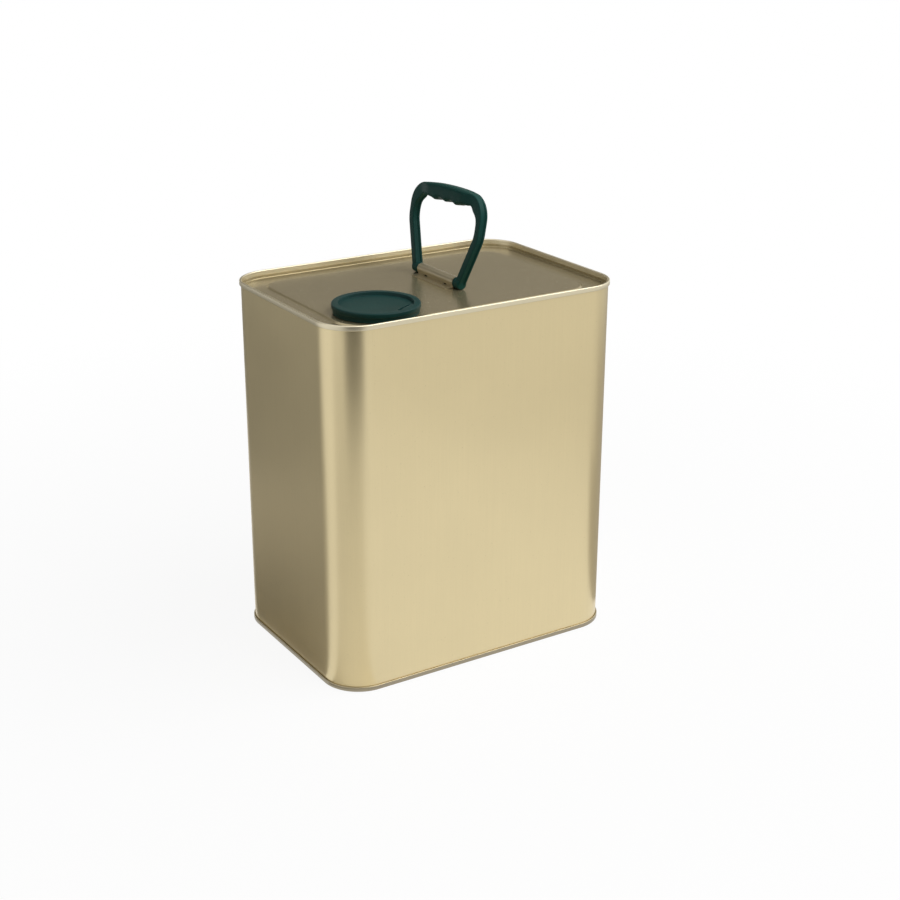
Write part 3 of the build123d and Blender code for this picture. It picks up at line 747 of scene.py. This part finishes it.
def lift_tab(tin):
    """The overcap's lift tab as rows of points, in millimetres until they are placed: a thin
    ridge, a slot behind it, and a plate that meets the ring. It sinks to the floor at both ends."""
    centre = np.array([tin.closure_x, tin.closure_y, tin.height - tin.recess])
    along = np.array([math.cos(TAB_TURN), math.sin(TAB_TURN), 0])
    across = np.array([-math.sin(TAB_TURN), math.cos(TAB_TURN), 0])
    side = np.linspace(-1, 1, 33)
    near = TAB_NEAR + 0.8 * np.abs(side) ** 6
    far = np.sqrt(TAB_FAR ** 2 - (TAB_HALF_WIDTH * side) ** 2)
    rise = smooth_ramp((1 - np.abs(side)) / 0.12)
    foot, ridge, slot, plate = 4.55, 2.02, 0.5, 2.34
    steps = [
        (near, 0), (near, ridge - 0.12), (near + 0.15, ridge - 0.02), (near + 0.45, ridge),
        (near + 0.6, ridge - 0.12), (near + 0.8, slot), (near + 2.4, slot),
        (near + 2.6, plate - 0.14), (near + 2.9, plate), (far - 0.2, plate), (far, plate - 0.14),
    ]
    rows = []
    for radius, height in steps:
        flat = along * radius[:, None] + across * (TAB_HALF_WIDTH * side)[:, None]
        up = np.stack([0 * side, 0 * side, foot + height * rise], 1)
        rows.append(centre + (flat + up) * MM)
    return np.stack(rows, 0)


class OILTIN_OT_overcap(bpy.types.Operator):
    """Adds the overcap with its sunk centre and slotted lift tab, and the tamper band below it."""
    bl_idname = "oiltin.overcap"
    bl_label = "Overcap and band"

    def execute(self, context):
        tin, closure = context.scene.tin_sizes, context.scene.closure_sizes
        teal = ("cap", "teal_plastic")
        rim, floor, panel = closure.cap_top, closure.cap_floor, closure.cap_panel
        skirt, inside = closure.skirt, closure.skirt - SKIRT_WALL
        overcap = [
            (AXIS_RADIUS, floor - CAP_PANEL), (panel, floor - CAP_PANEL), (panel, CAP_RING_LOW),
            (inside, CAP_RING_LOW), (inside, SKIRT_LOW), (skirt, SKIRT_LOW), (skirt, CAP_RING_LOW),
            (closure.cap, CAP_RING_LOW), (closure.cap, rim), (panel + CAP_RING_SLOPE, rim),
            (panel, floor), (AXIS_RADIUS, floor),
        ]
        edges = [0, 0.05, 0.05, 0.3, 0.2, 0.2, 0.3, 0.35, 0.9, 0.5, 0.3, 0]
        tab = (lift_tab(tin), False, False, True)
        turned("overcap_moulding", overcap, edges, teal, "cover", "overcap", tin, [tab], 192)
        top, ledge = SKIRT_LOW - BAND_GAP, BAND_LOW + BAND_LEDGE
        band = [
            (BAND_LEDGE_INSIDE, BAND_LOW), (skirt, BAND_LOW), (skirt, top), (inside, top),
            (inside, ledge), (BAND_LEDGE_INSIDE, ledge),
        ]
        turned("band_moulding", band, 0.12, teal, "tin", "tamper_band", tin)
        return {"FINISHED"}


def stage_bore(bore, lip, ledge, low, top):
    """Inner side of a sliding stage from the top down: stop lip, bore, and ledge at the foot."""
    return [
        (bore - lip, top), (bore - lip, top - LIP_HEIGHT), (bore, top - LIP_HEIGHT),
        (bore, low + LEDGE_HEIGHT), (bore - ledge, low + LEDGE_HEIGHT),
    ]


class OILTIN_OT_closure(bpy.types.Operator):
    """Adds the crimp ring and the spout's base, sleeve and nozzle with rounded edges, and dresses
    the smaller pieces and the seals."""
    bl_idname = "oiltin.closure"
    bl_label = "Spout and caps"

    def execute(self, context):
        tin, closure = context.scene.tin_sizes, context.scene.closure_sizes
        natural = ("natural", "natural_plastic")
        flange_low = closure.curl_top + closure.gasket
        flange_top = flange_low + closure.flange

        sheet, crimp_bore = closure.crimp_sheet, closure.curl + CRIMP_PLAY
        crimp_outside, lip_top = crimp_bore + sheet, closure.curl_low - SEAM_GAP
        crimp = [
            (crimp_outside - CRIMP_REACH, flange_top), (crimp_bore, flange_top),
            (crimp_bore, lip_top), (crimp_bore - CRIMP_LIP, lip_top),
            (crimp_bore - CRIMP_LIP, lip_top - sheet), (crimp_outside, lip_top - sheet),
            (crimp_outside, flange_top + sheet), (crimp_outside - CRIMP_REACH, flange_top + sheet),
        ]
        edges = [0, 0.1, 0.1, 0, 0, 0.3, 0.4, 0.1]
        bright = ("bright", "bright_tinplate")
        turned("crimp_ring_pressing", crimp, edges, bright, "tin", "crimp_ring", tin)

        base_low, base_outside = -closure.depth, closure.neck_bore - NECK_PLAY
        base_bore, flange = base_outside - BASE_WALL, closure.curl - NECK_PLAY
        base = [
            (base_bore - BASE_LEDGE, base_low), (base_outside, base_low),
            (base_outside, flange_low), (flange, flange_low), (flange, flange_top),
            *stage_bore(base_bore, BASE_LIP, BASE_LEDGE, base_low, flange_top),
        ]
        turned("spout_base_moulding", base, 0.2, natural, "tin", "spout_base", tin)

        sleeve_low = base_low + LEDGE_HEIGHT + REST_GAP
        sleeve_outside = base_bore - BASE_LIP - closure.slide_gap
        sleeve_bore, bead = sleeve_outside - SLEEVE_WALL, base_bore - closure.slide_gap
        sleeve = [
            (sleeve_bore - SLEEVE_LEDGE, sleeve_low), (bead, sleeve_low),
            (bead, sleeve_low + SLEEVE_BEAD), (sleeve_outside, sleeve_low + SLEEVE_BEAD),
            (sleeve_outside, SLEEVE_TOP),
            *stage_bore(sleeve_bore, SLEEVE_LIP, SLEEVE_LEDGE, sleeve_low, SLEEVE_TOP),
        ]
        turned("sleeve_moulding", sleeve, 0.2, natural, "sleeve", "spout_sleeve", tin)

        low = sleeve_low + LEDGE_HEIGHT + REST_GAP
        outside = sleeve_bore - SLEEVE_LIP - closure.slide_gap
        bore, bead = outside - NOZZLE_WALL, sleeve_bore - closure.slide_gap
        throat, throat_bore = closure.throat, closure.throat - THROAT_WALL
        ledge_low = NOZZLE_NECK + NOZZLE_WALL
        nozzle = [
            (bore, low), (bead, low), (bead, low + NOZZLE_BEAD), (outside, low + NOZZLE_BEAD),
            (outside, NOZZLE_SHOULDER), (throat, NOZZLE_NECK),
            (throat, NOZZLE_MOUTH - POUR_LIP_HEIGHT),
            (throat + POUR_LIP, NOZZLE_MOUTH - POUR_LIP_HEIGHT / 2), (throat, NOZZLE_MOUTH),
            (throat_bore, NOZZLE_MOUTH), (throat_bore, ledge_low + THROAT_LEDGE_HEIGHT),
            (throat_bore - THROAT_LEDGE, ledge_low + THROAT_LEDGE_HEIGHT),
            (throat_bore - THROAT_LEDGE, ledge_low), (throat_bore, NOZZLE_NECK),
            (bore, NOZZLE_SHOULDER - NOZZLE_WALL),
        ]
        edges = [0.2, 0.2, 0.2, 0.4, 1.2, 1.5, 0.1, 0.1, 0.15, 0.2, 0.1, 0.1, 0.1, 1.0, 1.0]
        turned("nozzle_moulding", nozzle, edges, natural, "nozzle", "spout_nozzle", tin)

        for node in ("screw_cap", "pull_bail_front", "pull_bail_rear", "tear_membrane"):
            dress_node(node, "natural")
        for node in ("top_seam_compound", "bottom_seam_compound"):
            dress_node(node, "compound")
        dress_node("neck_gasket", "gasket")
        dress_node("cap_liner", "liner")
        return {"FINISHED"}


# Handle: shares of its height and half width, and the runs over which its section changes

LINE_POINTS = 361
KNEE_SHARE = 0.54
BEND_SHARE = 0.33
CROWN_SHARE = 0.62
SOLID_LEG_HALF = 2.45 * MM
FOOT_DROP = 0.5 * MM
GRIP_END = 38 * MM
GRIP_RUN = 18 * MM
GUSSET_RUN = 16 * MM
GROOVE_END = 42 * MM
GROOVE_RUN = 8 * MM
GROOVE_FLANK = 0.4 * MM
FINGER_FADE = 2 * MM
LEG_EDGE = 0.5 * MM
GRIP_EDGE = 3.1 * MM
HUB_EDGE = 0.6 * MM
BAR_OVERLAP = 1 * MM


def handle_frame(tin, grip):
    """Origin at the bar's middle, and the loop's directions: along the bar, up the loop, across."""
    origin = np.array([grip.pivot_x, grip.pivot_y, tin.height - tin.recess + grip.pivot_rise])
    along = np.array([0, 1, 0])
    up = np.array([math.sin(grip.lean), 0, math.cos(grip.lean)])
    return origin, along, up, np.array([math.cos(grip.lean), 0, -math.sin(grip.lean)])


def handle_line(grip):
    """Middle line of the loop as even points (along the bar, up from it), their outward normals
    and their distance travelled: straight runs from foot to knee, shoulder and crown, with an arc
    at every corner. It lies where the solid's line does, half the solid's leg below its outside."""
    knee, wide = KNEE_SHARE * grip.height, grip.half_width
    slope = grip.shoulder_fall / wide
    crown_reach = CROWN_SHARE * wide
    crown = grip.height - grip.grip_lift - SOLID_LEG_HALF + crown_reach * slope / 2
    low = crown - grip.shoulder_fall
    corners = [
        (-grip.foot_half_width, -FOOT_DROP), (-wide, knee), (-wide, low + grip.grip_skew),
        (0, crown), (wide, low - grip.grip_skew), (wide, knee), (grip.foot_half_width, -FOOT_DROP),
    ]
    bends = [BEND_SHARE * grip.height, BEND_SHARE * wide, crown_reach / slope]
    line = rounded(corners, bends + bends[1::-1], steps=24)
    travelled = np.concatenate([[0], np.cumsum(np.linalg.norm(np.diff(line, axis=0), axis=1))])
    even = np.linspace(0, travelled[-1], LINE_POINTS)
    line = np.stack([np.interp(even, travelled, line[:, k]) for k in (0, 1)], 1)
    way = np.gradient(line, axis=0)
    way /= np.linalg.norm(way, axis=1, keepdims=True)
    return line, np.stack([-way[:, 1], way[:, 0]], 1), even


def handle_profile(grip, line, even):
    """The section at each point of the line: half width, reach outward and inward, radius of its
    edges, depth of its grooves and depth of the finger hollow. The leg swells into the grip, a
    gusset fills the inside of each shoulder, where |x| + height is greatest, and the hollows for
    four fingers are a cosine wave along the grip."""
    x, high = line[:, 0], line[:, 1]
    on_top = np.where(high > KNEE_SHARE * grip.height, 1.0, 0.0)
    swell = smooth_ramp((GRIP_END - np.abs(x)) / GRIP_RUN) * on_top
    leg = grip.leg_thickness / 2
    half = grip.leg_width / 2 + (grip.grip_width - grip.leg_width) / 2 * swell
    outer = leg + grip.grip_lift * swell
    inner = leg + (grip.grip_thickness - grip.grip_lift - 2 * leg) * swell
    corner = np.abs(x) + high
    shoulders = [even[np.argmax(corner * (x * side > 0))] for side in (-1, 1)]
    to_shoulder = np.min([np.abs(even - shoulder) for shoulder in shoulders], 0)
    inner = inner + grip.gusset * (1 - smooth_ramp(to_shoulder / GUSSET_RUN)) * (1 - swell)
    edge = LEG_EDGE + (GRIP_EDGE - LEG_EDGE) * swell
    fade = smooth_ramp((GROOVE_END - np.abs(x)) / GROOVE_RUN) * on_top
    wave = 0.5 + 0.5 * np.cos(2 * math.pi * (x / grip.finger_pitch + 0.5))
    row_end = 2 * grip.finger_pitch + FINGER_FADE / 4
    fingers = smooth_ramp((row_end - np.abs(x)) / FINGER_FADE) * on_top
    hollow = grip.finger_depth * wave ** 0.7 * fingers
    return half, outer, inner, edge, grip.groove_depth * (1 - fade), hollow


def loop_section(half_width, outer, inner, radius, groove_depth, hollow, groove_half):
    """Closed sections across the loop for every step of its line, as (across, outward): a rounded
    rectangle, less a groove in its outer and inner faces, less the finger hollow inside."""
    a, r, depth = half_width[:, None], radius[:, None], groove_depth[:, None]
    top, low = outer[:, None], inner[:, None] - hollow[:, None]
    flat = np.linspace(-1, 1, 15)[None, :] * (a - r)
    arc = np.linspace(0, math.pi / 2, 6)[None, :]

    def groove(side):
        return depth * (1 - smooth_ramp((np.abs(side) - groove_half) / GROOVE_FLANK + 0.5))

    across = np.concatenate([
        flat, a - r + r * np.sin(arc), a - r + r * np.cos(arc), -flat,
        -(a - r) - r * np.sin(arc), -(a - r) - r * np.cos(arc)], 1)
    outward = np.concatenate([
        top - groove(flat), top - r + r * np.cos(arc), -low + r - r * np.sin(arc), groove(flat) - low,
        -low + r - r * np.cos(arc), top - r + r * np.sin(arc)], 1)
    return across, outward


class OILTIN_OT_handle(bpy.types.Operator):
    """Adds the moulded handle: grooved legs, gusseted shoulders, grip with finger hollows, hubs
    and bar. Dresses the clip that holds it."""
    bl_idname = "oiltin.handle"
    bl_label = "Handle"

    def execute(self, context):
        tin, grip = context.scene.tin_sizes, context.scene.handle_sizes
        origin, along, up, across = handle_frame(tin, grip)
        line, out, even = handle_line(grip)
        side, outward = loop_section(*handle_profile(grip, line, even), grip.groove_width / 2)
        point = line[:, None, :] + out[:, None, :] * outward[..., None]
        loop = origin + point[..., :1] * along + point[..., 1:] * up + side[..., None] * across
        grids = [(loop, False, True, False)]
        for end, flip in ((0, False), (-1, True)):
            middle = np.broadcast_to(loop[end].mean(0), loop[end].shape)
            grids.append((np.stack([loop[end], middle], 0), False, True, flip))
        hub_half, bar_half = grip.hub_thickness / 2, grip.hub_inner + BAR_OVERLAP
        hub = rectangle(AXIS_RADIUS, grip.hub_radius, -hub_half, hub_half)
        hub = closed_rounded(hub, [0, HUB_EDGE, HUB_EDGE, 0])
        bar = rectangle(AXIS_RADIUS, grip.bar_radius, -bar_half, bar_half)
        hub_place = grip.hub_inner + hub_half
        for section, place in ((hub, -hub_place), (hub, hub_place), (bar, 0)):
            turn = carried(circle(64), section)
            placed = np.stack([turn[..., 0], turn[..., 2] + place, -turn[..., 1]], 2)
            grids.append((placed + origin, True, True, False))
        made = piece("handle_moulding", grids, "carry_handle", ["handle"], 38)
        dress(made, "handle")
        dress_node("handle_clip", "bright")
        dress_node("clip_welds", "bright")
        return {"FINISHED"}


class OILTIN_OT_finishes(bpy.types.Operator):
    """Makes the finishes that the pieces take."""
    bl_idname = "oiltin.finishes"
    bl_label = "Finishes"

    def execute(self, context):
        colours, tin = context.scene.tin_colours, context.scene.tin_sizes
        seams = (tin.seam, tin.height - tin.seam)
        # Painted shade: the lid takes the body's lacquer at 0.6 of its brightness, standing in for the
        # darker reflections on its upward-facing field.
        lid_painted_shade_lacquer = shade(colours.lacquer, 0.6)
        upright_grain, even_grain, round_grain = (1, 1, 0.012), (0.05, 0.05, 0.05), (1, 0.05, 1)
        finishes.update({
            "lacquer": lacquered_tinplate("gold_lacquer", colours.lacquer, 0.30, upright_grain, seams),
            # The lid's top seam takes a larger share of the painted highlight over its darkened lacquer.
            "lacquer_lid": lacquered_tinplate(
                "gold_lacquer_lid", lid_painted_shade_lacquer, 0.22, even_grain, seams, metallic=0.70, rim_highlight_share=0.85),
            "bright": lacquered_tinplate(
                "bright_tinplate", colours.bright, 0.34, round_grain, (tin.seam, BEYOND_RIM)),
            "cap": moulded_plastic("teal_moulding", colours.cap, 0.36, 0.32),
            "handle": moulded_plastic("green_moulding", colours.handle, 0.42, 0.39),
            "natural": waxy_plastic("natural_moulding", colours.natural),
            "compound": soft_solid("seam_compound", colours.compound, 1500.0),
            "gasket": soft_solid("gasket_rubber", colours.gasket, 1200.0),
            "liner": soft_solid("liner_foam", colours.liner, 2200.0),
        })
        return {"FINISHED"}


# Stage: the camera fitted to the photograph, the light, and the greys that the metal mirrors

CAMERA_PLACE = (-0.5886358, -0.9623451, 0.5707506)
CAMERA_RIGHT = (0.84498692, -0.53477571, 0.00347078)
CAMERA_UP = (0.18847826, 0.30387126, 0.9338834)
CAMERA_LENS = 63.646
KEY_PLACE = (1.0, -1.1, 2.1)
KEY_TARGET = (0, 0, 0.13)
KEY_SIZE = (2.6, 2.0)
KEY_POWER = 56
ROOM_STRENGTH = 0.28
FLOOR_REACH = 6.0
FLOOR_CARD_HEIGHT = 0.002
DARK = (0.03, 0.03, 0.03)
DIM = (0.2, 0.19, 0.17)
GREY = (0.33, 0.31, 0.27)
TAN = (0.37, 0.36, 0.33)
STONE = (0.46, 0.44, 0.41)
PALE = (0.58, 0.56, 0.52)
OFF_WHITE = (0.78, 0.77, 0.74)
WHITE = (0.95, 0.94, 0.91)


def key_light():
    """One large soft light, high on the right in front, which the camera doesn't see."""
    data = bpy.data.lights.new("key", "AREA")
    data.shape = "RECTANGLE"
    data.size, data.size_y = KEY_SIZE
    data.energy = KEY_POWER
    made = add_object("key", data)
    made.location = KEY_PLACE
    aim = Vector(KEY_TARGET) - Vector(KEY_PLACE)
    made.rotation_euler = aim.to_track_quat("-Z", "Y").to_euler()
    made.visible_camera = False


def stage_plane(name, corners):
    """A flat mesh with these four corners."""
    mesh = bpy.data.meshes.new(name)
    mesh.from_pydata([tuple(corner) for corner in corners], [], [(0, 1, 2, 3)])
    made = add_object(name, mesh)
    return made


def card(name, rgb, corners):
    """A matt stage card: the camera, diffuse light and shadows pass it by, and gloss shows it."""
    made = stage_plane(name, corners)
    made.visible_camera = made.visible_diffuse = made.visible_shadow = False
    matt = {"Base Color": rgb, "Roughness": 1.0, "Specular IOR Level": 0.0}
    made.data.materials.append(Nodes(name).finish(matt))


def upright_card(name, rgb, start, end, low, high):
    """A card that stands over the floor from start to end, between two heights."""
    card(name, rgb, [(*start, low), (*end, low), (*end, high), (*start, high)])


def lying_card(name, rgb, *corners):
    """A card that lies just over the floor."""
    card(name, rgb, [(*corner, FLOOR_CARD_HEIGHT) for corner in corners])


class OILTIN_OT_stage(bpy.types.Operator):
    """Adds the pale floor, the backdrop, the light, the cards that the metal mirrors, and the
    camera at the photograph's angle."""
    bl_idname = "oiltin.stage"
    bl_label = "Stage"

    def seen_rays(self, n):
        """1 for rays that show the stage itself: to the camera, in gloss and through plastic."""
        camera, glossy, through = [
            n.add("ShaderNodeLightPath", output=f"Is {kind} Ray")
            for kind in ("Camera", "Glossy", "Transmission")]
        return n.maths("MAXIMUM", n.maths("MAXIMUM", camera, glossy), through)

    def pale_floor(self):
        """White where it is seen, with the shadow near the tin kept; plain pale to other rays."""
        n = Nodes("pale_floor")
        seen = self.seen_rays(n)
        point = n.add("ShaderNodeTexCoord", output="Object")
        away = n.add("ShaderNodeVectorMath", {"operation": "LENGTH"}, {0: point}, "Value")
        near_share = 0.91
        share = seen * (near_share + (1 - near_share) * away.above(0.55, 0.35))
        lit = n.add("ShaderNodeBsdfDiffuse", inputs={"Color": (0.9, 0.9, 0.9)})
        white = n.add("ShaderNodeEmission", inputs={"Color": (1, 1, 1), "Strength": 1.0})
        mixed = n.add("ShaderNodeMixShader", inputs={0: share, 1: lit, 2: white})
        n.add("ShaderNodeOutputMaterial", inputs={"Surface": mixed})
        return n.material

    def add_backdrop(self, scene):
        """A white world where it is seen, and a dimmer one as light."""
        scene.world = bpy.data.worlds.new("studio")
        n = Nodes("studio", scene.world)
        seen = self.seen_rays(n)
        room = n.add("ShaderNodeBackground", inputs={"Color": (1, 1, 1), "Strength": ROOM_STRENGTH})
        backdrop = n.add("ShaderNodeBackground", inputs={"Color": (1, 1, 1), "Strength": 1.0})
        mixed = n.add("ShaderNodeMixShader", inputs={0: seen, 1: room, 2: backdrop})
        n.add("ShaderNodeOutputWorld", inputs={"Surface": mixed})

    def add_cards(self):
        """Stands for the dark and grey surroundings that the photographed tin mirrors."""
        upright_card("front_left_card", DARK, (-0.43, -0.32), (-0.10, -0.50), 0.085, 0.4)
        upright_card("front_card", GREY, (-0.2, -1.6), (1.5, -1.0), 0.5, 1.8)
        upright_card("back_card", GREY, (-0.3, 1.3), (1.4, 0.75), 0.35, 1.4)
        upright_card("back_left_card", DIM, (-1.4, 0.8), (-0.3, 1.3), 0.4, 1.4)
        lying_card("left_near_card", PALE, (-0.121, -0.05), (-0.42, 0.15), (-0.1, 0.55), (-0.121, 0.09))
        lying_card("left_card", TAN, (-0.42, 0.15), (-1.35, 1.4), (0.4, 1.4), (-0.1, 0.55))
        lying_card("right_card", STONE, (0.135, -0.075), (1.0, -0.95), (1.3, 1.0), (0.15, 0.25))
        lying_card("front_far_card", OFF_WHITE, (0.05, -0.8), (0.4, -2.2), (1.9, -1.2), (0.45, -0.15))
        lying_card(
            "front_left_floor_card", WHITE, (-0.119, -0.06), (-1.2, -0.1), (-0.35, -1.5), (-0.09, -0.09))

    def add_camera(self, scene):
        """A camera that stands and looks where the one that took the photograph did."""
        data = bpy.data.cameras.new("camera")
        camera = add_object("camera", data)
        data.sensor_fit = "HORIZONTAL"
        data.sensor_width = 36.0
        data.lens = CAMERA_LENS
        data.clip_start = 0.01
        right, up = Vector(CAMERA_RIGHT), Vector(CAMERA_UP)
        turn = Matrix((right, up, right.cross(up))).transposed().to_4x4()
        camera.matrix_world = Matrix.Translation(CAMERA_PLACE) @ turn
        scene.camera = camera

    def execute(self, context):
        far = FLOOR_REACH
        floor = stage_plane("floor", [(-far, -far, 0), (far, -far, 0), (far, far, 0), (-far, far, 0)])
        floor.data.materials.append(self.pale_floor())
        self.add_backdrop(context.scene)
        key_light()
        self.add_cards()
        self.add_camera(context.scene)
        context.scene.view_settings.view_transform = "Standard"
        return {"FINISHED"}


class OILTIN_PT_panel(bpy.types.Panel):
    """Lists the tin's pieces and sizes."""
    bl_idname = "OILTIN_PT_panel"
    bl_label = "Oil tin"
    bl_space_type = "VIEW_3D"
    bl_region_type = "UI"
    bl_category = "Oil tin"

    def draw(self, context):
        for group in GROUPS:
            values = getattr(context.scene, group)
            box = self.layout.box()
            for name in values.bl_rna.properties.keys():
                if name not in ("rna_type", "name"):
                    box.prop(values, name)
        for operator in OPERATORS:
            self.layout.operator(operator.bl_idname)


GROUPS = {
    "tin_sizes": TinSizes, "closure_sizes": ClosureSizes, "handle_sizes": HandleSizes,
    "tin_colours": TinColours,
}
OPERATORS = (
    OILTIN_OT_finishes, OILTIN_OT_body, OILTIN_OT_lid, OILTIN_OT_bottom, OILTIN_OT_closure,
    OILTIN_OT_overcap, OILTIN_OT_handle, OILTIN_OT_stage,
)


def register():
    for name, group in GROUPS.items():
        bpy.utils.register_class(group)
        setattr(bpy.types.Scene, name, bpy.props.PointerProperty(type=group))
    for operator in OPERATORS:
        bpy.utils.register_class(operator)
    bpy.utils.register_class(OILTIN_PT_panel)


def unregister():
    bpy.utils.unregister_class(OILTIN_PT_panel)
    for operator in reversed(OPERATORS):
        bpy.utils.unregister_class(operator)
    for name, group in GROUPS.items():
        delattr(bpy.types.Scene, name)
        bpy.utils.unregister_class(group)


def main():
    register()
    bpy.ops.oiltin.finishes()
    bpy.ops.oiltin.body()
    bpy.ops.oiltin.lid()
    bpy.ops.oiltin.bottom()
    bpy.ops.oiltin.closure()
    bpy.ops.oiltin.overcap()
    bpy.ops.oiltin.handle()
    bpy.ops.oiltin.stage()


if __name__ == "__main__":
    main()
